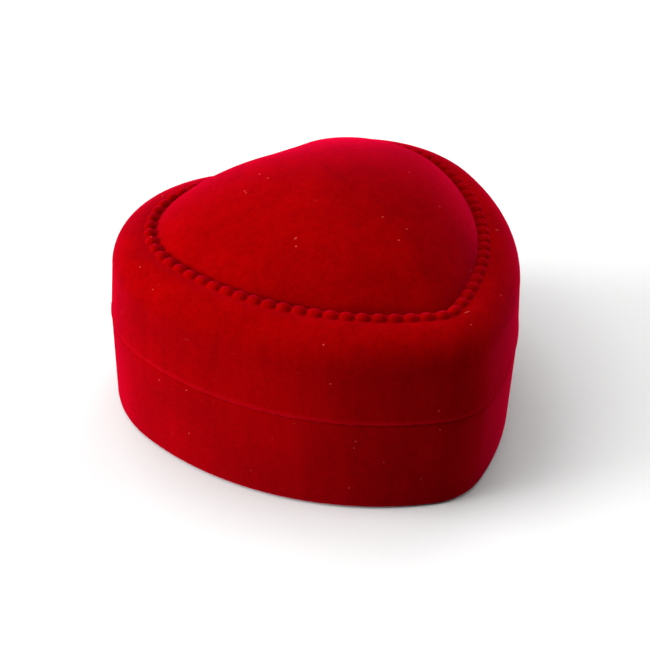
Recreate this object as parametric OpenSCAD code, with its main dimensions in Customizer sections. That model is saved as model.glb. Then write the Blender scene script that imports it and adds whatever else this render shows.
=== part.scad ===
// Heart-shaped flocked gift box with a ring cushion and a sprung back hinge.
// The tip of the heart points to -Y, the hinge is in the notch at +Y, and Z = 0 is the underside.

/* [Heart outline] */
// Distance of each lobe's centre from the middle
lobe_x = 10.2; // [8.5:0.1:12.4]
// Radius of each lobe, which sets the half width with lobe_x
lobe_r = 19.8; // [17:0.1:24]
// Distance of the tip's centre in front of the lobes' centres
tip_y = 27.7; // [23:0.1:33.5]
// Radius of the rounded tip
tip_r = 9.8; // [8:0.1:12]
// Radius of the long side between lobe and tip
side_r = 44; // [36:0.5:53]
// Radius of the soft notch between the lobes
notch_r = 5; // [4:0.1:6]

/* [Heights] */
// Height of the base, from the underside to the parting line
base_h = 14.7; // [12:0.1:18]
// Height of the lid's side, from the parting line to its flat ledge
lid_h = 12.6; // [10.5:0.1:15.5]
// Rise of the dome above the ledge
dome_h = 9.9; // [8:0.1:12]

/* [Shells] */
// Wall thickness of the moulded base and lid
wall = 1.6; // [1.3:0.1:2]
// Radius of the edge round the underside
foot_r = 0.8; // [0.5:0.1:1.2]
// Lean of the lid's side towards the top
lid_draft = 0.6; // [0.4:0.1:0.8]
// Width of the lid's rounded shoulder
shoulder_w = 4.6; // [3.8:0.1:5.5]
// Height of the lid's rounded shoulder
shoulder_h = 5; // [4:0.1:6]

/* [Bead trim] */
// Diameter of a bead
bead_d = 1.75; // [1.4:0.05:1.85]
// Distance between neighbouring beads along the row
bead_pitch = 2.05; // [1.95:0.05:2.5]

/* [Collar] */
// Thickness of the card collar that locates the lid
collar_t = 0.8; // [0.6:0.1:1]
// How far the collar stands above the parting line
collar_rise = 2.2; // [1.8:0.1:2.6]
// Clearance between the collar and the shells
collar_gap = 0.2; // [0.15:0.01:0.25]

/* [Cushion] */
// Thickness of the card under the cushion
card_t = 1; // [0.8:0.1:1.2]
// Thickness of the velvet cover
cover_t = 0.6; // [0.5:0.1:0.8]
// Distance of the ring slot in front of the lobes' centres
slot_y = 6; // [5:0.1:7]
// Width of the ring slot between the two cushions
slot_w = 0.6; // [0.5:0.1:0.8]
// Clearance round the cushions
cushion_gap = 0.3; // [0.25:0.01:0.4]

/* [Lid lining] */
// Thickness of the satin
satin_t = 0.5; // [0.4:0.1:0.6]
// Thickness of the wadding at the top of the dome
wadding_t = 2.4; // [2:0.1:3]

/* [Hinge] */
// Length of the hinge barrel
hinge_w = 11; // [9:0.5:13]
// Length of the lid's knuckle in the middle of the barrel
mid_knuckle_w = 3.8; // [3.2:0.1:4.6]
// Thickness of the hinge's sheet metal
leaf_t = 0.4; // [0.35:0.05:0.5]
// Height of each leaf's riveted plate
leaf_h = 6.6; // [5.8:0.1:7.4]
// Diameter of the hinge pin
pin_d = 1; // [0.8:0.1:1.2]
// Radial clearance between the pin and the knuckles
pin_gap = 0.04; // [0.02:0.01:0.08]
// Diameter of a rivet's shank
rivet_d = 1.2; // [1:0.1:1.4]
// Thickness of the snap spring
spring_t = 0.25; // [0.2:0.05:0.3]

/* [Hidden] */

red = "#a80a12";
dark_red = "#7c0710";
satin_red = "#c41a26";
card_red = "#8e1018";
foam_white = "#efe8dc";
plated = "#c9a45a";
steel = "#b9bcc0";

// Small overlap that makes cuts and joins clean
eps = 0.01;
// How far a cutter runs past what it cuts
past = 1;
// Facets round a hinge cylinder, a rivet and a bead
hinge_fn = 64;
rivet_fn = 48;
bead_fn = 32;

// Heart outline: circles for the lobes and the tip, wide arcs for the sides, a fillet in the notch
arc_step = 7.5;
side_reach = norm([lobe_x, tip_y]);
side_lobe_r = side_r - lobe_r;
side_tip_r = side_r - tip_r;
side_along = (side_reach^2 + side_lobe_r^2 - side_tip_r^2) / (2 * side_reach);
side_across = sqrt(side_lobe_r^2 - side_along^2);
to_tip = [-lobe_x, -tip_y] / side_reach;
side_c = [lobe_x, 0] + side_along * to_tip + side_across * [to_tip.y, -to_tip.x];
notch_c = [0, sqrt((lobe_r + notch_r)^2 - lobe_x^2)];
tip_turn = atan2(-tip_y - side_c.y, -side_c.x);
lobe_turn = atan2(-side_c.y, lobe_x - side_c.x);
notch_turn = atan2(notch_c.y, -lobe_x);

function arc(c, r, from, to) = let (steps = ceil(abs(to - from) / arc_step))
    [for (i = [0 : steps - 1]) let (t = from + (to - from) * i / steps) c + r * [cos(t), sin(t)]];

// Right half of the outline from the tip to the notch, moved inwards by inset
function half_heart(inset) = concat(
    arc([0, -tip_y], tip_r - inset, -90, tip_turn),
    arc(side_c, side_r - inset, tip_turn, lobe_turn),
    arc([lobe_x, 0], lobe_r - inset, lobe_turn, notch_turn),
    arc(notch_c, notch_r + inset, notch_turn - 180, -90)
);
function notch_y(inset) = notch_c.y - notch_r - inset;
function whole_heart(inset) = let (h = half_heart(inset), n = len(h))
    concat(h, [[0, notch_y(inset)]], [for (i = [n - 1 : -1 : 1]) [-h[i].x, h[i].y]]);

// The tip's arc has gone at an inset of tip_r, so near there the outline shrinks to dome_c instead
least_tip_r = 1;
dome_c = [0, -0.22 * tip_y];
function mean_reach(h) = [for (p = h) norm(p - dome_c)] * [for (p = h) 1] / len(h);
function heart(inset) = let (
    kept = min(inset, tip_r - least_tip_r), h = whole_heart(kept),
    shrink = 1 - (inset - kept) / mean_reach(h)
) [for (p = h) dome_c + shrink * (p - dome_c)];

// Closed solid from rings of equal length, stacked from the lowest to the highest
module skin(rings) {
    n = len(rings[0]);
    top = len(rings) - 1;
    polyhedron(
        points = [for (ring = rings) each ring],
        faces = concat(
            [[for (i = [0 : n - 1]) i]],
            [for (k = [0 : top - 1], i = [0 : n - 1]) each [
                [k * n + i, (k + 1) * n + i, k * n + (i + 1) % n],
                [k * n + (i + 1) % n, (k + 1) * n + i, (k + 1) * n + (i + 1) % n]
            ]],
            [[for (i = [n - 1 : -1 : 0]) top * n + i]]
        ),
        convexity = 8
    );
}
function level(inset, z) = [for (p = heart(inset)) [p.x, p.y, z]];
module heart_prism(inset, z, h) { translate([0, 0, z]) linear_extrude(h) polygon(heart(inset)); }
module block(x, y, z) {
    translate([x[0], y[0], z[0]]) cube([x[1] - x[0], y[1] - y[0], z[1] - z[0]]);
}
module along_x(x, y, z) { translate([x, y, z]) rotate([0, 90, 0]) children(); }
module along_y(x, y, z) { translate([x, y, z]) rotate([-90, 0, 0]) children(); }

// Dome: a heart at its foot that turns round as it rises. share is the distance from the middle.
round_power = 1.5;
crown_power = 0.8;
dome_shares = [1, 0.99, 0.96, 0.91, 0.84, 0.75, 0.64, 0.5, 0.34, 0.18, 0.06];
lining_shares = [1, 0.97, 0.88, 0.74, 0.55, 0.34, 0.14];
function dome_ring(share, inset, z, rise) = let (
    foot = heart(inset), reach = mean_reach(foot), heartness = share ^ round_power,
    top = z + rise * (1 - share ^ 2) ^ crown_power
) [for (p = foot) let (v = p - dome_c)
    let (q = dome_c + share * (heartness + (1 - heartness) * reach / norm(v)) * v) [q.x, q.y, top]];
function dome(shares, inset, z, rise) = [for (s = shares) dome_ring(s, inset, z, rise)];
function flip(list) = [for (i = [len(list) - 1 : -1 : 0]) list[i]];

// Heights that the pieces share
ledge_z = base_h + lid_h;
shoulder_z = ledge_z - shoulder_h;
total_h = ledge_z + dome_h;

// Insets that the pieces share
touch_gap = 0.05;
bead_inset = lid_draft + shoulder_w + bead_d / 2;
dome_inset = bead_inset + bead_d / 2 + touch_gap;
collar_inset = wall + collar_gap;
collar_room = 1;
cushion_inset = collar_inset + collar_t + cushion_gap;

// Hinge: the pin lies at the parting line, just behind the lobes
axis_gap = 0.2;
hinge_y = lobe_r + axis_gap;
hinge_z = base_h;
knuckle_bore = pin_d / 2 + pin_gap;
knuckle_r = knuckle_bore + leaf_t;
knuckle_gap = 0.1;
side_knuckle_x = mid_knuckle_w / 2 + knuckle_gap;
pin_head_r = pin_d * 0.8;
pin_head_t = 0.35;
slot_x = hinge_w / 2 + pin_head_t + 0.2;
slot_z = knuckle_r + 0.12;
land_x = slot_x + 0.6;
land_y = notch_y(wall) - lid_draft - 0.5;
land_h = leaf_h + 0.7;
leaf_x = land_x - 0.6;
leaf_y = land_y - leaf_t;
rivet_x = 3.9;
rivet_z = leaf_h * 0.62;
rivet_gap = 0.02;
rivet_depth = 2;
rivet_head_r = rivet_d * 0.85;
rivet_head_t = 0.4;
spring_x = mid_knuckle_w / 2 - 0.3;
spring_edge = 0.3;
hinge_well_x = land_x + 0.5;
hinge_well_y = leaf_y - spring_t - rivet_head_t - 0.8;

// Cushions
card_z = wall;
cushion_z = card_z + card_t;
cushion_top = base_h + 0.3;

// Lid lining
lining_gap = 0.3;
cloth_gap = 0.15;
lining_drop = 2.1;
rim_t = 0.5;
wadding_step = 0.6;
lining_inset = wall + lid_draft + 0.9;
lining_z = base_h + land_h + 0.4;
ceiling_z = ledge_z - wall;
ceiling_inset = dome_inset + wall;

// ---- Base ----

// Rib that carries a hinge leaf, and the slot and holes that the leaf needs. up is 1 in the lid.
module hinge_land(up) {
    z = hinge_z + (up > 0 ? 0 : -land_h);
    intersection() {
        heart_prism((wall + lid_draft) / 2, z, land_h);
        block([-land_x, land_x], [land_y, hinge_y], [z, z + land_h]);
    }
}
module hinge_cuts(up) {
    z = hinge_z + (up > 0 ? -eps : -slot_z);
    block([-slot_x, slot_x], [land_y - eps, hinge_y + slot_z], [z, z + slot_z + eps]);
    for (x = [-rivet_x, rivet_x])
        along_y(x, land_y - eps, hinge_z + up * rivet_z)
            cylinder(r = rivet_d / 2 + rivet_gap, h = rivet_depth + rivet_gap, $fn = rivet_fn);
}

module base_shell() {
    turns = [0 : 22.5 : 90];
    outside = [for (t = turns) level(foot_r * (1 - sin(t)), foot_r * (1 - cos(t)))];
    color(red) difference() {
        union() {
            skin(concat(outside, [
                level(0, base_h), level(wall, base_h), level(wall, wall)
            ]));
            hinge_land(-1);
        }
        hinge_cuts(-1);
    }
}

module collar() {
    color(card_red) difference() {
        heart_prism(collar_inset, wall, base_h - wall + collar_rise);
        heart_prism(collar_inset + collar_t, wall - eps, base_h + collar_rise);
        hinge_well();
    }
}

// Room behind the cushions for the hinge leaves, the spring and the rivets
module hinge_well() {
    block([-hinge_well_x, hinge_well_x], [hinge_well_y, hinge_y], [wall - eps, total_h]);
}

module cushion_card() {
    color(card_red) difference() {
        heart_prism(cushion_inset, card_z, card_t);
        hinge_well();
    }
}

// Front (towards the tip) or rear half of the cushion, shrunk by the thickness t of a cover
module front_block(t) {
    intersection() {
        heart_prism(cushion_inset + t, cushion_z, cushion_top - t - cushion_z);
        block([-lobe_x - lobe_r, lobe_x + lobe_r], [-tip_y - tip_r, -slot_y - slot_w / 2 - t],
              [0, total_h]);
    }
}
module rear_block(t) {
    difference() {
        heart_prism(cushion_inset + t, cushion_z, cushion_top - t - cushion_z);
        block([-lobe_x - lobe_r, lobe_x + lobe_r], [-tip_y - tip_r, -slot_y + slot_w / 2 + t],
              [0, total_h]);
        block([-hinge_well_x - t, hinge_well_x + t], [hinge_well_y - t, hinge_y], [0, total_h]);
    }
}
module front_cushion_foam() { color(foam_white) front_block(cover_t); }
module rear_cushion_foam() { color(foam_white) rear_block(cover_t); }
module front_cushion_cover() {
    color(dark_red) difference() { front_block(0); front_block(cover_t); }
}
module rear_cushion_cover() {
    color(dark_red) difference() { rear_block(0); rear_block(cover_t); }
}

// ---- Hinge ----

module tube_x(x0, x1) {
    along_x(x0, hinge_y, hinge_z) cylinder(r = knuckle_r, h = x1 - x0, $fn = hinge_fn);
}
module knuckle_bore_cut() {
    along_x(-hinge_w, hinge_y, hinge_z) cylinder(r = knuckle_bore, h = 2 * hinge_w, $fn = hinge_fn);
}
module finger(x, up) {
    z = [hinge_z + up * knuckle_bore, hinge_z + up * knuckle_r];
    block(x, [leaf_y, hinge_y], [min(z), max(z)]);
}
module plate(up) {
    z = [hinge_z + up * knuckle_bore, hinge_z + up * leaf_h];
    block([-leaf_x, leaf_x], [leaf_y, land_y], [min(z), max(z)]);
}
module rivet_holes(up) {
    for (x = [-rivet_x, rivet_x])
        along_y(x, leaf_y - spring_t - past, hinge_z + up * rivet_z)
            cylinder(r = rivet_d / 2 + rivet_gap, h = leaf_t + spring_t + 2 * past, $fn = rivet_fn);
}

module base_hinge_leaf() {
    color(plated) difference() {
        union() {
            plate(-1);
            for (x = [[-hinge_w / 2, -side_knuckle_x], [side_knuckle_x, hinge_w / 2]]) {
                finger(x, -1);
                tube_x(x[0], x[1]);
            }
        }
        block([-side_knuckle_x, side_knuckle_x], [leaf_y - past, land_y + past],
              [hinge_z - knuckle_r - knuckle_gap - spring_t, hinge_z]);
        knuckle_bore_cut();
        rivet_holes(-1);
    }
}

module lid_hinge_leaf() {
    x = [-mid_knuckle_w / 2, mid_knuckle_w / 2];
    color(plated) difference() {
        union() {
            plate(1);
            finger(x, 1);
            tube_x(x[0], x[1]);
        }
        knuckle_bore_cut();
        rivet_holes(1);
    }
}

module hinge_pin() {
    color(steel) {
        along_x(-hinge_w / 2, hinge_y, hinge_z) cylinder(r = pin_d / 2, h = hinge_w, $fn = hinge_fn);
        for (x = [-hinge_w / 2 - pin_head_t, hinge_w / 2])
            along_x(x, hinge_y, hinge_z) cylinder(r = pin_head_r, h = pin_head_t, $fn = hinge_fn);
    }
}

// Two drive rivets. stack is the thickness of what they clamp against the land.
module leaf_rivets(up, stack) {
    color(steel) for (x = [-rivet_x, rivet_x]) {
        along_y(x, land_y - stack, hinge_z + up * rivet_z)
            cylinder(r = rivet_d / 2, h = stack + rivet_depth, $fn = rivet_fn);
        along_y(x, land_y - stack - rivet_head_t, hinge_z + up * rivet_z)
            cylinder(r = rivet_head_r, h = rivet_head_t, $fn = rivet_fn);
    }
}
module base_leaf_rivets() leaf_rivets(-1, leaf_t + spring_t);
module lid_leaf_rivets() leaf_rivets(1, leaf_t);

// Flat spring under the base leaf's rivets, with a tongue that presses on the lid's knuckle
module snap_spring() {
    tongue_top = hinge_z - knuckle_bore;
    tongue_end = hinge_y - sqrt(knuckle_r^2 - knuckle_bore^2) - touch_gap;
    foot_top = hinge_z - rivet_z + rivet_head_r + spring_edge;
    y = [leaf_y - spring_t, leaf_y];
    color(steel) difference() {
        union() {
            block([-leaf_x, leaf_x], y, [hinge_z - leaf_h, foot_top]);
            block([-spring_x, spring_x], y, [foot_top - eps, tongue_top]);
            block([-spring_x, spring_x], [y[0], tongue_end], [tongue_top - spring_t, tongue_top]);
        }
        rivet_holes(-1);
    }
}

// ---- Lid ----

module lid_shell() {
    steps = [0 : 15 : 90];
    inner_steps = [0 : 30 : 90];
    lean = wall + lid_draft;
    outside = concat(
        [level(0, base_h)],
        [for (t = steps) level(lid_draft + shoulder_w * (1 - cos(t)), shoulder_z + shoulder_h * sin(t))],
        dome(dome_shares, dome_inset, ledge_z, dome_h)
    );
    inside = concat(
        [level(wall, base_h), level(wall, base_h + collar_rise + collar_room)],
        [for (t = inner_steps)
            level(lean + shoulder_w * (1 - cos(t)), shoulder_z + (shoulder_h - wall) * sin(t))],
        dome(dome_shares, ceiling_inset, ceiling_z, dome_h)
    );
    color(red) difference() {
        union() {
            skin(concat(flip(inside), outside));
            hinge_land(1);
        }
        hinge_cuts(1);
    }
}

// Row of half-round beads on the ledge, evenly spaced along their heart
module bead_trim() {
    row = heart(bead_inset);
    n = len(row);
    way = [for (i = 0, s = 0; i <= n; s = s + norm(row[(i + 1) % n] - row[i % n]), i = i + 1) s];
    count = round(way[n] / bead_pitch);
    x_at = [for (i = [0 : n]) [way[i], row[i % n].x]];
    y_at = [for (i = [0 : n]) [way[i], row[i % n].y]];
    color(red) difference() {
        for (k = [0 : count - 1]) let (s = (k + 0.5) * way[n] / count)
            translate([lookup(s, x_at), lookup(s, y_at), ledge_z])
                sphere(d = bead_d, $fn = bead_fn);
        heart_prism(0, ledge_z - bead_d, bead_d);
    }
}

// Surface of the lining, from its rim up into the dome. lift moves it towards the lid.
function lining(lift) = let (inset = ceiling_inset + wadding_t - lift, z = ceiling_z - lining_drop + lift)
    concat(
        [level(lining_inset, lining_z + lift)],
        dome(lining_shares, inset, z, total_h - wall - lining_gap - wadding_t - satin_t + lift - z)
    );
module lid_satin() {
    color(satin_red) skin(concat(flip(lining(0)), lining(satin_t)));
}
module lid_wadding() {
    rim_z = lining_z + satin_t + cloth_gap;
    color(foam_white) skin(concat(
        flip(lining(satin_t + cloth_gap)),
        [level(lining_inset, rim_z + rim_t)],
        [level(wall + lid_draft + shoulder_w * wadding_step, ceiling_z - lining_gap - rim_t)],
        dome(dome_shares, ceiling_inset + lining_gap, ceiling_z - lining_gap, dome_h)
    ));
}

base_shell();
collar();
cushion_card();
front_cushion_foam();
front_cushion_cover();
rear_cushion_foam();
rear_cushion_cover();
base_hinge_leaf();
base_leaf_rivets();
hinge_pin();
snap_spring();
lid_shell();
bead_trim();
lid_wadding();
lid_satin();
lid_hinge_leaf();
lid_leaf_rivets();
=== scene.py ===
import math

import bmesh
import bpy
import numpy as np
from mathutils import Matrix, Quaternion, Vector


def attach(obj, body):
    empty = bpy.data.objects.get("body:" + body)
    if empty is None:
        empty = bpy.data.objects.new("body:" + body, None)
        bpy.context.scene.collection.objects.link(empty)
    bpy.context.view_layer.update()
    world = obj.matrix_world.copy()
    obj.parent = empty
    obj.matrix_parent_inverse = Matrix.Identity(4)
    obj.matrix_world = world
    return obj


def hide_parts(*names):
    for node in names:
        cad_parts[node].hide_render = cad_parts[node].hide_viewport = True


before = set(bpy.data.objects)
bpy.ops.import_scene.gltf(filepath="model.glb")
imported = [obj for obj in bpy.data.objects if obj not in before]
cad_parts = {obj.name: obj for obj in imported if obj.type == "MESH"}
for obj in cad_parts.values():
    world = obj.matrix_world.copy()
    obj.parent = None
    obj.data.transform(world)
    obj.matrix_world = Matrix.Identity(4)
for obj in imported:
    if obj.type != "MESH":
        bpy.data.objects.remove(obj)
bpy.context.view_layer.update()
# Sizes are written in millimetres, and times mm they are metres.
mm = 0.001

# ---------------------------------------------------------------------------------------------
# The table and the studio. The box stands on a plain white table, seen from above its tip and a
# little to the left. Large soft lamps, most of them on the left, throw its shadow to the right.
# ---------------------------------------------------------------------------------------------
camera_turn, camera_tilt, camera_roll = math.radians(-36.6), math.radians(36.0), math.radians(1.9)
camera_distance = 193.0 * mm
looked_at = Vector((-0.8, -6.0, 10.5)) * mm
lens_mm = 72.3

towards_camera = Vector((
    math.sin(camera_turn) * math.cos(camera_tilt),
    -math.cos(camera_turn) * math.cos(camera_tilt),
    math.sin(camera_tilt),
))
camera = bpy.data.objects.new("camera", bpy.data.cameras.new("camera"))
camera.data.sensor_width = 36.0
camera.data.lens = lens_mm
camera.data.clip_start, camera.data.clip_end = 0.01, 10.0
camera.location = looked_at + towards_camera * camera_distance
camera.rotation_mode = "QUATERNION"
camera.rotation_quaternion = (-towards_camera).to_track_quat("-Z", "Y") @ Quaternion((0, 0, 1), camera_roll)
bpy.context.scene.collection.objects.link(camera)
bpy.context.scene.camera = camera
bpy.context.scene.view_settings.view_transform = "Standard"


def to_mesh(name, points, faces):
    """Smooth-shaded mesh object from an array of points in metres and a list or array of faces."""
    mesh = bpy.data.meshes.new(name)
    mesh.from_pydata(np.asarray(points, float).tolist(), [], [list(map(int, face)) for face in faces])
    mesh.polygons.foreach_set("use_smooth", [True] * len(mesh.polygons))
    mesh.update()
    made = bpy.data.objects.new(name, mesh)
    bpy.context.scene.collection.objects.link(made)
    return made


speck_fade = 0.05


class Wire:
    """One output of a material's nodes. Sums on wires and plain numbers add the Math nodes."""

    def __init__(self, tree, socket=None):
        self.tree, self.socket = tree, socket

    def node(self, kind, settings, sockets, out=0):
        """Adds a node of that type, its settings first, then the numbers, colours or wires of its
        sockets, and returns its output out."""
        new = self.tree.nodes.new(kind)
        for name, value in settings.items():
            setattr(new, name, value)
        for name, value in sockets.items():
            if isinstance(value, Wire):
                self.tree.links.new(value.socket, new.inputs[name])
            else:
                new.inputs[name].default_value = value
        return Wire(self.tree, new.outputs[out])

    def math(self, operation, a, b):
        return self.node("ShaderNodeMath", {"operation": operation}, {0: a, 1: b})

    def __add__(self, other):
        return self.math("ADD", self, other)

    def __rsub__(self, other):
        return self.math("SUBTRACT", other, self)

    def __mul__(self, other):
        return self.math("MULTIPLY", self, other)

    __radd__, __rmul__ = __add__, __mul__

    def above(self, level, width):
        """0 below level, 1 above level + width, with a soft step between."""
        return self.node("ShaderNodeMapRange", {"interpolation_type": "SMOOTHSTEP"},
                         {"Value": self, "From Min": level, "From Max": level + width})

    def noise(self, scale, detail=2.0, roughness=0.5):
        """Noise of that many waves a metre, read at this place."""
        return self.node("ShaderNodeTexNoise", {}, {"Vector": self, "Scale": scale, "Detail": detail,
                                                    "Roughness": roughness}, "Fac")

    def specks(self, scale, size, kept):
        """1 in small round specks, one a cell, in the share of the cells that is above kept."""
        settings, sockets = {}, {"Vector": self, "Scale": scale}
        distance = self.node("ShaderNodeTexVoronoi", settings, sockets, "Distance")
        cell = self.node("ShaderNodeTexVoronoi", settings, sockets, "Color")
        chance = cell.node("ShaderNodeSeparateColor", {}, {"Color": cell}, "Red")
        return (1.0 - distance.above(size, size)) * chance.above(kept, speck_fade)

    def mix(self, share, first, second):
        """Colour that goes from first to second as share goes from 0 to 1."""
        return self.node("ShaderNodeMix", {"data_type": "RGBA"},
                         {"Factor": share, "A": first, "B": second}, 2)

    def bump(self, strength, distance):
        return self.node("ShaderNodeBump", {}, {"Height": self, "Strength": strength, "Distance": distance})


def new_material(name):
    """Material with an empty Principled shader. Returns it, the shader and a wire of the place."""
    made = bpy.data.materials.new(name)
    made.use_nodes = True
    tree = made.node_tree
    tree.nodes.clear()
    shader = tree.nodes.new("ShaderNodeBsdfPrincipled")
    output = tree.nodes.new("ShaderNodeOutputMaterial")
    tree.links.new(shader.outputs[0], output.inputs["Surface"])
    place = Wire(tree).node("ShaderNodeTexCoord", {}, {}, "Object")
    return made, shader, place


def join(wire, shader, socket):
    """Leads the wire into that socket of the shader."""
    wire.tree.links.new(wire.socket, shader.inputs[socket])


table_half = 6.0
table_grain, table_light, table_dark = 40.0, (0.45, 0.45, 0.45, 1), (0.43, 0.43, 0.43, 1)
table = to_mesh("table", [(-table_half, -table_half, 0), (table_half, -table_half, 0),
                          (table_half, table_half, 0), (-table_half, table_half, 0)], [(0, 1, 2, 3)])
table_white, shader, place = new_material("table_white")
join(place.mix(place.noise(table_grain, 4.0) * 0.5, table_light, table_dark), shader, "Base Color")
shader.inputs["Roughness"].default_value = 0.7
shader.inputs["Specular IOR Level"].default_value = 0.2
table.data.materials.append(table_white)


lamp_distance = 2.4


def soft_lamp(name, turn, tilt, size, watts):
    """Square lamp that looks at the box from that turn and tilt, in degrees, as the camera's are."""
    turn, tilt = math.radians(turn), math.radians(tilt)
    way = Vector((math.sin(turn) * math.cos(tilt), -math.cos(turn) * math.cos(tilt), math.sin(tilt)))
    light = bpy.data.lights.new(name, "AREA")
    light.shape, light.size, light.energy = "SQUARE", size, watts
    lamp = bpy.data.objects.new(name, light)
    lamp.location = looked_at + way * lamp_distance
    lamp.rotation_mode = "QUATERNION"
    lamp.rotation_quaternion = (-way).to_track_quat("-Z", "Y")
    bpy.context.scene.collection.objects.link(lamp)


soft_lamp("left_low", turn=-119, tilt=12, size=1.35, watts=148.0)
soft_lamp("left_middle", turn=-118, tilt=35, size=2.2, watts=56.0)
soft_lamp("left_high", turn=-120, tilt=60, size=1.2, watts=22.0)
soft_lamp("overhead", turn=0, tilt=89, size=1.5, watts=24.0)
soft_lamp("back_high", turn=-180, tilt=60, size=1.2, watts=29.0)
soft_lamp("right_high", turn=120, tilt=60, size=1.2, watts=14.0)
soft_lamp("right_back", turn=125, tilt=16, size=1.2, watts=22.0)
soft_lamp("right_front", turn=60, tilt=35, size=1.2, watts=24.0)

backdrop_light, fill_light = 0.95, 0.03
bpy.context.scene.world = bpy.data.worlds.new("studio")
bpy.context.scene.world.use_nodes = True
sky = bpy.context.scene.world.node_tree
seen = Wire(sky).node("ShaderNodeLightPath", {}, {}, "Is Camera Ray") * backdrop_light + fill_light
sky.links.new(seen.socket, sky.nodes["Background"].inputs["Strength"])
sky.nodes["Background"].inputs["Color"].default_value = (1, 1, 1, 1)

# ---------------------------------------------------------------------------------------------
# Base shell. An injection-moulded plastic bowl whose whole surface is flocked: short red fibres
# stand on a coat of glue. Its back wall has a low slot for the hinge, and a rib behind the leaf.
# ---------------------------------------------------------------------------------------------
lobe_x, lobe_r = 10.2, 19.8
tip_y, tip_r = 27.7, 9.8
side_r, notch_r = 44.0, 5.0
base_h, wall, foot_r, rim_r = 14.7, 1.6, 0.8, 0.2
rim_gap = 0.015
# At the parting line the flock of the lid's edge stands out by lip over the height lip_h, and the
# base's draws in by as much, so that the line shows as a soft step.
lip, lip_h = 0.08, 0.9
slot_x, slot_z = 6.0, 1.06
rib_x, rib_y, rib_h, rib_step = 6.7, 14.9, 7.3, 0.05
floor_insets = (3.0, 5.0, 9.0)
underside_insets = (9.0, 5.0, 2.5)
# Every ring has its columns under those of the lid's bead row, so the row's place comes first.
lid_draft, shoulder_w = 0.6, 4.6
bead_d, bead_count, steps_a_bead = 1.75, 72, 10
bead_inset = lid_draft + shoulder_w + bead_d / 2


def heart_columns(count, inset):
    """Heart outline as count columns, evenly spaced along the outline that lies inset inside it.
    Each half is four arcs: tip circle, side arc, lobe circle and the notch's fillet. Each column
    keeps its arc's centre, direction, radius, and whether the radius shrinks or grows inwards."""
    lobe, tip = np.array([lobe_x, 0.0]), np.array([0.0, -tip_y])
    reach = np.linalg.norm(tip - lobe)
    near, far = side_r - lobe_r, side_r - tip_r
    along = (reach**2 + near**2 - far**2) / (2 * reach)
    across = math.sqrt(near**2 - along**2)
    unit = (tip - lobe) / reach
    side = lobe + along * unit + across * np.array([unit[1], -unit[0]])
    notch = np.array([0.0, math.sqrt((lobe_r + notch_r) ** 2 - lobe_x**2)])
    tip_turn = math.atan2(*(tip - side)[::-1])
    lobe_turn = math.atan2(*(lobe - side)[::-1])
    notch_turn = math.atan2(*(notch - lobe)[::-1])
    centre = np.array([tip, side, lobe, notch])
    radius = np.array([tip_r, side_r, lobe_r, notch_r])
    shrink = np.array([1.0, 1.0, 1.0, -1.0])
    start = np.array([-math.pi / 2, tip_turn, lobe_turn, notch_turn - math.pi])
    end = np.array([tip_turn, lobe_turn, notch_turn, -math.pi / 2])
    length = np.abs(end - start) * (radius - shrink * inset)
    ends = np.cumsum(length)
    way = np.arange(count) / count * 2 * ends[-1]
    half = np.where(way <= ends[-1], way, 2 * ends[-1] - way)
    which = np.minimum(np.searchsorted(ends, half), 3)
    share = (half - (ends - length)[which]) / length[which]
    angle = start[which] + share * (end - start)[which]
    flip = np.where(way <= ends[-1], 1.0, -1.0)
    return {
        "centre": centre[which] * np.stack([flip, np.ones(count)], 1),
        "way": np.stack([np.cos(angle) * flip, np.sin(angle)], 1),
        "radius": radius[which],
        "shrink": shrink[which],
        "phase": (way / (2 * ends[-1]) * bead_count) % 1.0 - 0.5,
    }


columns = heart_columns(bead_count * steps_a_bead, bead_inset)


def ring(inset, z):
    """The outline moved inwards by inset, at height z: each column's centre plus its direction times
    its radius, less or plus the inset. inset and z are numbers or one value a column."""
    reach = columns["radius"] - columns["shrink"] * inset
    flat = columns["centre"] + columns["way"] * np.asarray(reach)[:, None]
    return np.column_stack([flat, np.broadcast_to(z, len(flat))])


def sweep(name, rings):
    """Closed skin through rings of equal length, each pair of neighbours joined by quads, with the
    first and last closed by a fan to their middle."""
    count, rows = len(rings[0]), len(rings)
    points = np.concatenate([*rings, [rings[0].mean(0)], [rings[-1].mean(0)]]) * mm
    i = np.arange(count)
    j = (i + 1) % count
    k = np.arange(rows - 1)[:, None] * count
    quads = np.stack([k + i, k + j, k + count + j, k + count + i], -1).reshape(-1, 4)
    low = np.stack([j, i, np.full(count, rows * count)], 1)
    high = np.stack([(rows - 1) * count + i, (rows - 1) * count + j, np.full(count, rows * count + 1)], 1)
    return to_mesh(name, points, [*quads, *low, *high])


def inner_wall(inset, z, rib):
    """Ring on the inside of a wall. Where rib is true it is flattened to the rib behind the hinge."""
    made = ring(inset, z)
    if rib:
        on_rib = (np.abs(made[:, 0]) < rib_x) & (made[:, 1] > rib_y)
        made[on_rib, 1] = rib_y
    return made


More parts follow.
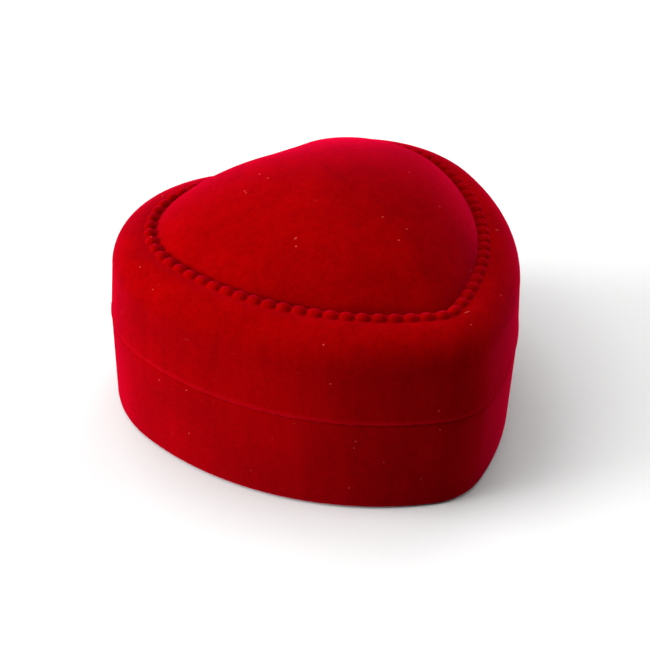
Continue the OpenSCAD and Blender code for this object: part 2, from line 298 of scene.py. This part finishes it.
outline = ring(0.0, 0.0)
at_slot = ((np.abs(outline[:, 0]) < slot_x) & (outline[:, 1] > rib_y)).astype(float)
quarter = np.radians(np.linspace(0, 90, 6))
rim_z = base_h - rim_gap - slot_z * at_slot
foot = [ring(foot_r * (1 - math.sin(t)), foot_r * (1 - math.cos(t))) for t in quarter]
lip_low = rim_z - rim_r - lip_h
side = [ring(0.0, foot_r + (lip_low - foot_r) * s) for s in np.linspace(0, 1, 6)[1:]]
side += [ring(lip * s**2, lip_low + lip_h * s) for s in np.linspace(0, 1, 8)[1:]]
rim_out = [ring(lip + rim_r * (1 - math.cos(t)), rim_z - rim_r * (1 - math.sin(t))) for t in quarter[1:]]
rim_in = [inner_wall(wall - rim_r * (1 - math.sin(t)), rim_z - rim_r * (1 - math.cos(t)), True)
          for t in quarter]
inside = [inner_wall(wall, base_h - rib_h, True), inner_wall(wall, base_h - rib_h - rib_step, False),
          inner_wall(wall, wall, False)]
underside = [ring(inset, 0.0) for inset in underside_insets]
floor = [ring(inset, wall) for inset in floor_insets]
base_flock = sweep("base_flock", [*underside, *foot, *side, *rim_out, *rim_in, *inside, *floor])

# Short dense fibres. Their colour changes from tip to tip, from tuft to tuft, in upright brush marks
# and over wide patches. A painted highlight lightens a thin band of the lid's edge, and a little lint lies
# on top.
flock_deep, flock_bright = (0.093, 0.0001, 0.0001, 1), (0.182, 0.0002, 0.0002, 1)
flock_sheen, painted_sheen_red, lint_red = (1.0, 0.004, 0.07, 1), (0.42, 0.002, 0.012, 1), (0.70, 0.12, 0.09, 1)
tip_waves, tuft_waves, patch_waves, brush_waves = 5200.0, 1300.0, 70.0, (480.0, 480.0, 70.0)
lint_cells, hair_cells, hair_turn = 520.0, (110.0, 640.0, 640.0), (0.5, 0.3, 0.9)
flock, shader, place = new_material("flocked_red")
tips = place.noise(tip_waves, 3.0, 0.6)
tufts = place.noise(tuft_waves, 2.0)
patches = place.noise(patch_waves, 2.0)
brushed = place.node("ShaderNodeMapping", {}, {"Vector": place, "Scale": brush_waves}).noise(1.0, 2.0)
share = (tips * 0.22 + tufts * 0.2 + brushed * 0.2 + patches * 0.38).above(0.225, 0.5)
height = place.node("ShaderNodeSeparateXYZ", {}, {"Vector": place}, "Z")
# Painted highlight: a thin band on the lid just above the parting line is mixed towards a lighter red.
painted_sheen_band = height.above(base_h * mm, 0.1 * mm) * (1.0 - height.above((base_h + 0.3) * mm, 0.7 * mm))
colour = place.mix(painted_sheen_band * 0.11, place.mix(share, flock_deep, flock_bright), painted_sheen_red)
lint = place.specks(lint_cells, 0.035, 0.55)
turned = place.node("ShaderNodeMapping", {}, {"Vector": place, "Rotation": hair_turn, "Scale": hair_cells})
hairs = turned.specks(1.0, 0.04, 0.85)
join(place.mix(lint * 0.30 + hairs * 0.22, colour, lint_red), shader, "Base Color")
join((tips * 0.6 + tufts * 0.4).bump(0.3, 0.00012), shader, "Normal")
shader.inputs["Roughness"].default_value = 0.95
shader.inputs["Specular IOR Level"].default_value = 0.0
shader.inputs["Sheen Weight"].default_value = 0.5
shader.inputs["Sheen Roughness"].default_value = 0.36
shader.inputs["Sheen Tint"].default_value = flock_sheen
base_flock.data.materials.append(flock)
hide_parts("base_shell")
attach(base_flock, "base")

# ---------------------------------------------------------------------------------------------
# Lid shell. Moulded in one piece with its row of beads and flocked after, so that the fibres run
# over ledge and beads alike and soften them. The side leans in a little up to a round shoulder.
# ---------------------------------------------------------------------------------------------
shoulder_h, ledge_z, dome_h = 5.0, 27.3, 9.9
shoulder_z = ledge_z - shoulder_h
bead_top, bead_w, bead_gap, row_margin = 0.7, 1.6, 0.05, 0.12
bead_valley, bead_fall, bead_round = 0.88, 2.4, 0.6
dome_inset = bead_inset + bead_d / 2 + bead_gap
dome_shift, round_power, crown_power = 0.22, 1.5, 0.8
dome_centre = np.array([0.0, -dome_shift * tip_y])
shoulder_end = 84.0


def beads(inset):
    """Height of the bead row above the ledge, one value a column: bead_top times (1 - bead_valley
    times p to the power bead_fall - a * a) to the power bead_round, where p is the way from the
    bead's middle along the row over half the pitch, and a the way across over half the row's width."""
    across = (inset - bead_inset) / (bead_w / 2)
    along = np.abs(columns["phase"]) * 2
    return bead_top * np.maximum(1 - bead_valley * along**bead_fall - across**2, 0) ** bead_round


def dome_ring(share, inset, z, rise):
    """Ring of the dome at share of the way out from its middle: the outline at its foot drawn in to
    that share, and a circle where share to the power round_power is 0. Its height is z plus rise
    times (1 - share squared) to the power crown_power."""
    foot = ring(inset, 0.0)[:, :2] - dome_centre
    reach = np.linalg.norm(foot, axis=1, keepdims=True)
    heartness = share**round_power
    flat = dome_centre + share * (heartness + (1 - heartness) * reach.mean() / reach) * foot
    return np.column_stack([flat, np.full(len(flat), z + rise * (1 - share**2) ** crown_power)])


rim_z = base_h + rim_gap + slot_z * at_slot
shares = np.sin(np.linspace(1, 0.02, 34) * math.pi / 2)
inner_shares = np.sin(np.linspace(1, 0.03, 12) * math.pi / 2)
ceiling_z, ceiling_inset = ledge_z - wall, dome_inset + wall
ceiling = [dome_ring(s, ceiling_inset, ceiling_z, dome_h) for s in inner_shares][::-1]
inner_shoulder = [inner_wall(wall + lid_draft + shoulder_w * (1 - math.cos(t)),
                             shoulder_z + (shoulder_h - wall) * math.sin(t), False) for t in quarter[::-1]]
inside = [inner_wall(wall, base_h + rib_h + rib_step, False), inner_wall(wall, base_h + rib_h, True)]
rim_in = [inner_wall(wall - rim_r * (1 - math.sin(t)), rim_z + rim_r * (1 - math.cos(t)), True)
          for t in quarter[::-1]]
rim_out = [ring(rim_r * (1 - math.cos(t)) - lip, rim_z + rim_r * (1 - math.sin(t))) for t in quarter[:0:-1]]
side_low, side_h = rim_z + rim_r, shoulder_z - rim_z - rim_r
side = [ring(lid_draft * lip_h * s / side_h - lip * (1 - s) ** 2, side_low + lip_h * s)
        for s in np.linspace(0, 1, 8)]
side += [ring(lid_draft * s, side_low + side_h * s) for s in np.linspace(0.2, 1, 6)]
shoulder = [ring(lid_draft + shoulder_w * (1 - math.cos(t)), shoulder_z + shoulder_h * math.sin(t))
            for t in np.radians(np.linspace(0, shoulder_end, 15))[1:]]
row = np.linspace(bead_inset - bead_d / 2 - row_margin, dome_inset - bead_gap * 0.4, 20)
ledge = [ring(inset, ledge_z + beads(inset)) for inset in row]
dome = [dome_ring(s, dome_inset, ledge_z, dome_h) for s in shares]
lid_flock = sweep("lid_flock", [*ceiling, *inner_shoulder, *inside, *rim_in, *rim_out, *side,
                                *shoulder, *ledge, *dome])
lid_flock.data.materials.append(flock)
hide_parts("lid_shell", "bead_trim")
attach(lid_flock, "lid")

# ---------------------------------------------------------------------------------------------
# Collar. A strip of red paper-covered card bent round inside the base, glued to it, and standing
# a little above the parting line, where it locates the lid. It stops short of the hinge. The card
# under the cushions is cut from the same stock.
# ---------------------------------------------------------------------------------------------
collar_in, collar_t, collar_low, collar_top = 1.8, 0.8, 1.6, 16.9
collar_edge, hinge_well_x, hinge_well_y = 0.3, 7.15, 13.06
waved_h, lowered, long_wave, short_wave = 1.0, 0.1, (0.06, 17.0), (0.04, 5.3)

straight_h = collar_top - collar_edge - collar_low
section = [(collar_in, collar_low + straight_h * s) for s in np.linspace(0, 1, 9)]
section += [(collar_in + collar_edge * (1 - math.cos(t)), collar_top - collar_edge * (1 - math.sin(t)))
            for t in quarter[1:]]
section += [(collar_in + collar_t - inset + collar_in, z) for inset, z in section[::-1]]
strip = np.stack([ring(inset, z) for inset, z in section], 1)
gap = (np.abs(strip[:, 0, 0]) < hinge_well_x) & (strip[:, 0, 1] > hinge_well_y)
first = int(np.argmax(gap & ~np.roll(gap, 1)))
strip = np.roll(strip, -first, axis=0)[int(gap.sum()):]
step = np.arange(len(strip))
wave = long_wave[0] * np.sin(step / long_wave[1]) + short_wave[0] * np.sin(step / short_wave[1])
strip[:, :, 2] += (wave - lowered)[:, None] * (strip[:, :, 2] > collar_top - waved_h)
around, along = len(section), len(strip)
a = np.arange(along - 1)[:, None] * around + np.arange(around)
b = np.arange(along - 1)[:, None] * around + (np.arange(around) + 1) % around
faces = np.stack([a, a + around, b + around, b], -1).reshape(-1, 4)
ends = [list(range(around)), list(range((along - 1) * around, along * around))[::-1]]
collar = to_mesh("collar_strip", strip.reshape(-1, 3) * mm, [*faces, *ends])

card_deep, card_bright, card_gloss = (0.15, 0.0008, 0.0016, 1), (0.23, 0.0014, 0.0026, 1), (1.0, 0.2, 0.2, 1)
card_red, shader, place = new_material("card_red")
fibres = place.noise(900.0, 5.0, 0.65)
join(place.mix(fibres, card_deep, card_bright), shader, "Base Color")
join((fibres * 0.5).above(0.1, 0.4) * 0.2 + 0.6, shader, "Roughness")
join((fibres + place.noise(3500.0, 2.0) * 0.4).bump(0.35, 0.00008), shader, "Normal")
shader.inputs["Specular IOR Level"].default_value = 0.15
shader.inputs["Specular Tint"].default_value = card_gloss
collar.data.materials.append(card_red)
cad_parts["cushion_card"].data.materials.clear()
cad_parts["cushion_card"].data.materials.append(card_red)
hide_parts("collar")
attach(collar, "base")

# ---------------------------------------------------------------------------------------------
# Ring cushion. Two blocks of soft foam under dark red velvet, which is tucked down into the slot
# between them, where a ring is pushed in. The foam presses the velvet into rounded lips.
# ---------------------------------------------------------------------------------------------
swollen, voxel, pressure, most_swelling, swell_frames = 10.0, 6.0 * mm, 4.0, 6.0 * mm, 20
stiffness, smoothing, smooth_turns = 30.0, 0.5, 12
cushion_low, cushion_top = 2.6, 15.0


def shape(thing):
    """Gives the object the mesh that its modifiers make, and takes them off."""
    made = bpy.data.meshes.new_from_object(thing.evaluated_get(bpy.context.evaluated_depsgraph_get()))
    thing.modifiers.clear()
    thing.data = made


def points_of(thing):
    """The object's points as an array, one row a point."""
    points = np.empty(len(thing.data.vertices) * 3)
    thing.data.vertices.foreach_get("co", points)
    return points.reshape(-1, 3)


def cushion(name, node):
    """The node's block of foam, made ten times as large because cloth this small doesn't settle,
    remeshed, and blown up as cloth by pressure with no weight. No point goes further than
    most_swelling. It is smoothed and brought back to size."""
    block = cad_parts[node].data.copy()
    merged = bmesh.new()
    merged.from_mesh(block)
    bmesh.ops.remove_doubles(merged, verts=merged.verts, dist=0.001 * mm)
    merged.to_mesh(block)
    merged.free()
    block.transform(Matrix.Scale(swollen, 4))
    made = bpy.data.objects.new(name, block)
    bpy.context.scene.collection.objects.link(made)
    remesh = made.modifiers.new("remesh", "REMESH")
    remesh.mode, remesh.voxel_size = "VOXEL", voxel
    shape(made)
    before = points_of(made)
    cloth = made.modifiers.new("cloth", "CLOTH")
    cloth.settings.use_pressure = True
    cloth.settings.uniform_pressure_force = pressure
    cloth.settings.effector_weights.gravity = 0.0
    cloth.settings.tension_stiffness = cloth.settings.compression_stiffness = stiffness
    cloth.point_cache.frame_end = swell_frames
    for step in range(1, swell_frames + 1):
        bpy.context.scene.frame_set(step)
    shape(made)
    bpy.context.scene.frame_set(1)
    move = points_of(made) - before
    length = np.linalg.norm(move, axis=1, keepdims=True)
    after = before + move * np.minimum(1.0, most_swelling / np.maximum(length, 1e-9))
    made.data.vertices.foreach_set("co", after.ravel())
    smooth = made.modifiers.new("smooth", "SMOOTH")
    smooth.factor, smooth.iterations = smoothing, smooth_turns
    finer = made.modifiers.new("finer", "SUBSURF")
    finer.levels = finer.render_levels = 1
    shape(made)
    final = points_of(made) / swollen
    final[:, 2] = np.clip(final[:, 2], cushion_low * mm, cushion_top * mm)
    made.data.vertices.foreach_set("co", final.ravel())
    made.data.polygons.foreach_set("use_smooth", [True] * len(made.data.polygons))
    made.data.materials.clear()
    return made


velvet_deep, velvet_bright = (0.060, 0.0002, 0.0012, 1), (0.125, 0.0004, 0.0022, 1)
velvet, shader, place = new_material("cushion_pile")
tips = place.noise(4200.0, 3.0, 0.6)
nap = place.noise(160.0, 2.0)
share = (tips * 0.6 + nap * 0.3).above(0.25, 0.45)
join(place.mix(share, velvet_deep, velvet_bright), shader, "Base Color")
join((tips * 0.7 + nap * 0.5).bump(0.5, 0.00015), shader, "Normal")
shader.inputs["Roughness"].default_value = 0.95
shader.inputs["Specular IOR Level"].default_value = 0.0
shader.inputs["Sheen Weight"].default_value = 0.8
shader.inputs["Sheen Roughness"].default_value = 0.3
shader.inputs["Sheen Tint"].default_value = (1.0, 0.03, 0.10, 1)
for name, foam, cover in (("front_cushion", "front_cushion_foam", "front_cushion_cover"),
                          ("rear_cushion", "rear_cushion_foam", "rear_cushion_cover")):
    pad = cushion(name, foam)
    pad.data.materials.append(velvet)
    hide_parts(foam, cover)
    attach(pad, "base")

# ---------------------------------------------------------------------------------------------
# Lid lining. A pad of wadding under red satin, glued into the dome. The satin is drawn in round
# its rim, so soft folds run from the rim towards the smooth middle and die out.
# ---------------------------------------------------------------------------------------------
lining_inset, lining_z, lining_foot_z, lining_apex_z = 3.15, 22.45, 23.65, 32.4
kept_inset, drawn_in = 8.8, 2.2 / 18.0
fold_h, fold_count, fold_reach = 0.55, 44, 0.45
outer_steps = ((0.0, 0.6), (1.2, 1.6))
back_gap = 0.4


def lining_ring(share, z, rise):
    """Ring of the lining at share of its way out. It is a ring of the dome whose outline lies at
    kept_inset, drawn in by drawn_in, and it is lifted by rise times the dome's own fall."""
    flat = dome_ring(share * (1 - drawn_in), kept_inset, z, 0.0)
    return flat + np.array([0.0, 0.0, rise * (1 - share**2) ** crown_power])


# The folds are sines round the lining. Their spacing drifts, and some are deeper than others.
turn = np.arange(len(outline)) / len(outline) * 2 * math.pi
crease = turn * fold_count + 1.9 * np.sin(5 * turn + 0.4) + 1.3 * np.sin(11 * turn + 2.0)
gather = (0.5 + 0.5 * np.sin(crease)) * (0.7 + 0.3 * np.sin(7 * turn + 1.0))
rim_ring = ring(lining_inset, lining_z)
foot_ring = lining_ring(1.0, lining_foot_z, 0.0)
under = []
for s in np.linspace(0, 1, 12)[:-1]:
    gathered = rim_ring * (1 - s) + foot_ring * s
    gathered[:, 2] += fold_h * gather * math.sin(math.pi * min(0.15 + s, 1.0)) ** 0.5
    under.append(gathered)
for s in np.linspace(1, 0.03, 22):
    gathered = lining_ring(s, lining_foot_z, lining_apex_z - lining_foot_z)
    gathered[:, 2] += fold_h * gather * max((s - fold_reach) / (1 - fold_reach), 0.0) ** 2
    under.append(gathered)
outer = [ring(lining_inset + inwards, lining_z + up) for inwards, up in outer_steps]
back = [dome_ring(s, ceiling_inset + back_gap, ceiling_z - back_gap, dome_h)
        for s in np.linspace(1, 0.05, 10)]
lining = sweep("satin_lining", [*under[::-1], *outer, *back])

satin_deep, satin_bright = (0.33, 0.001, 0.005, 1), (0.47, 0.002, 0.009, 1)
satin_gloss, satin_sheen = (1.0, 0.05, 0.07, 1), (1.0, 0.02, 0.05, 1)
thread_waves, slub_waves = 2600.0, (260.0, 3800.0, 260.0)
satin, shader, place = new_material("satin_red")
threads = place.noise(thread_waves, 2.0)
slubs = place.node("ShaderNodeMapping", {}, {"Vector": place, "Scale": slub_waves}).noise(1.0, 2.0)
join(place.mix(slubs, satin_deep, satin_bright), shader, "Base Color")
join((slubs * 0.7 + threads * 0.3).bump(0.25, 0.00004), shader, "Normal")
join(slubs * 0.15 + 0.34, shader, "Roughness")
shader.inputs["Specular IOR Level"].default_value = 0.5
shader.inputs["Specular Tint"].default_value = satin_gloss
shader.inputs["Sheen Weight"].default_value = 0.2
shader.inputs["Sheen Tint"].default_value = satin_sheen
lining.data.materials.append(satin)
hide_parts("lid_satin", "lid_wadding")
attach(lining, "lid")

# ---------------------------------------------------------------------------------------------
# Hinge. Two leaves of brass-plated sheet steel, their knuckles on a plain steel pin, riveted to
# the shells' ribs. A flat spring under the base leaf presses on the lid's knuckle.
# ---------------------------------------------------------------------------------------------
brass_bright, brass_dull = (0.80, 0.58, 0.27, 1), (0.60, 0.42, 0.20, 1)
steel_bright, steel_dull = (0.62, 0.62, 0.63, 1), (0.48, 0.47, 0.46, 1)
wear_waves, rolled_waves = 600.0, (300.0, 300.0, 9000.0)


def metal(name, colour, worn, roughness):
    """Sheet metal: colour dulled in soft patches, with fine rolling lines in its gloss."""
    made, shader, place = new_material(name)
    patches = place.noise(wear_waves, 4.0, 0.6)
    lines = place.node("ShaderNodeMapping", {}, {"Vector": place, "Scale": rolled_waves}).noise(1.0, 2.0)
    join(place.mix(patches.above(0.5, 0.25), colour, worn), shader, "Base Color")
    join(patches * 0.18 + lines * 0.10 + roughness, shader, "Roughness")
    join(lines.bump(0.15, 0.00002), shader, "Normal")
    shader.inputs["Metallic"].default_value = 1.0
    return made


plated = metal("brass_plate", brass_bright, brass_dull, 0.18)
steel = metal("bright_steel", steel_bright, steel_dull, 0.22)
for finish, nodes in ((plated, ["base_hinge_leaf", "lid_hinge_leaf"]),
                      (steel, ["hinge_pin", "snap_spring", "base_leaf_rivets", "lid_leaf_rivets"])):
    for node in nodes:
        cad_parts[node].data.materials.clear()
        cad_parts[node].data.materials.append(finish)
